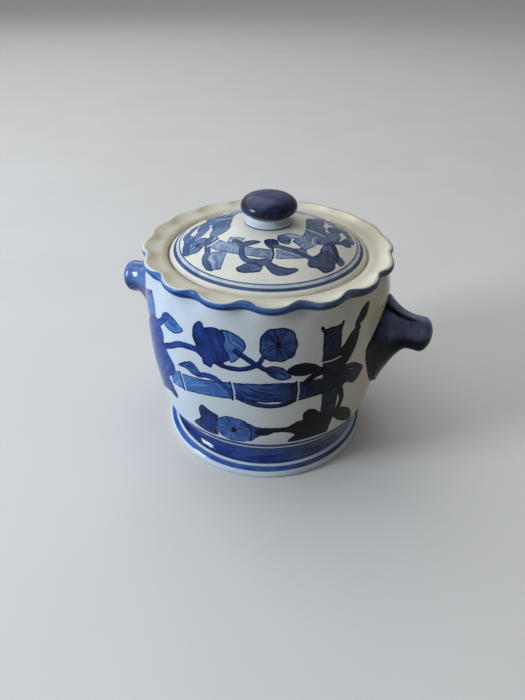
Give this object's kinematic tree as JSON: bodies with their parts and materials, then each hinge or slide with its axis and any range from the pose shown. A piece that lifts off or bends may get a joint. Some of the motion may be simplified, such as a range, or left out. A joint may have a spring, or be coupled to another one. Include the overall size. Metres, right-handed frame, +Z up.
{
  "type": "herbal medicine pot",
  "caption": "Glazed porcelain pot for stewing one portion of herbs, with scalloped rim, solid side lugs, spreading foot, domed lift-off lid with knob and flat inner lid.",
  "frame": {"origin": "centre of the foot ring on the surface that the pot stands on", "axes": "+Z up along the turned axis; +X through the right lug, -Y towards the front"},
  "size_m": [0.176, 0.1286, 0.1367],
  "materials": {
    "white_glaze": "gloss",
    "cream_glaze": "gloss",
    "cobalt_glaze": "gloss",
    "foot_glaze": "gloss",
    "lid_glaze": "gloss",
    "inner_white_glaze": "gloss",
    "bare_porcelain": "matt, unglazed"
  },
  "bodies": {
    "pot": {"pot_body": "white_glaze", "foot_ring": "foot_glaze", "rim_collar": "cream_glaze", "right_lug": "cobalt_glaze", "left_lug": "cobalt_glaze"},
    "inner_lid": {"inner_lid_disc": "inner_white_glaze", "inner_lid_knob": "inner_white_glaze"},
    "outer_lid": {"lid_dome": "lid_glaze", "lid_locating_ring": "bare_porcelain", "knob_collar": "white_glaze", "knob_cap": "cobalt_glaze"}
  },
  "joints": [
    {"name": "inner_lid_lift", "type": "slide", "parent": "pot", "child": "inner_lid", "axis": [0, 0, 1], "range_m": [0, 0.06]},
    {"name": "outer_lid_lift", "type": "slide", "parent": "inner_lid", "child": "outer_lid", "axis": [0, 0, 1], "range_m": [0, 0.08]}
  ]
}
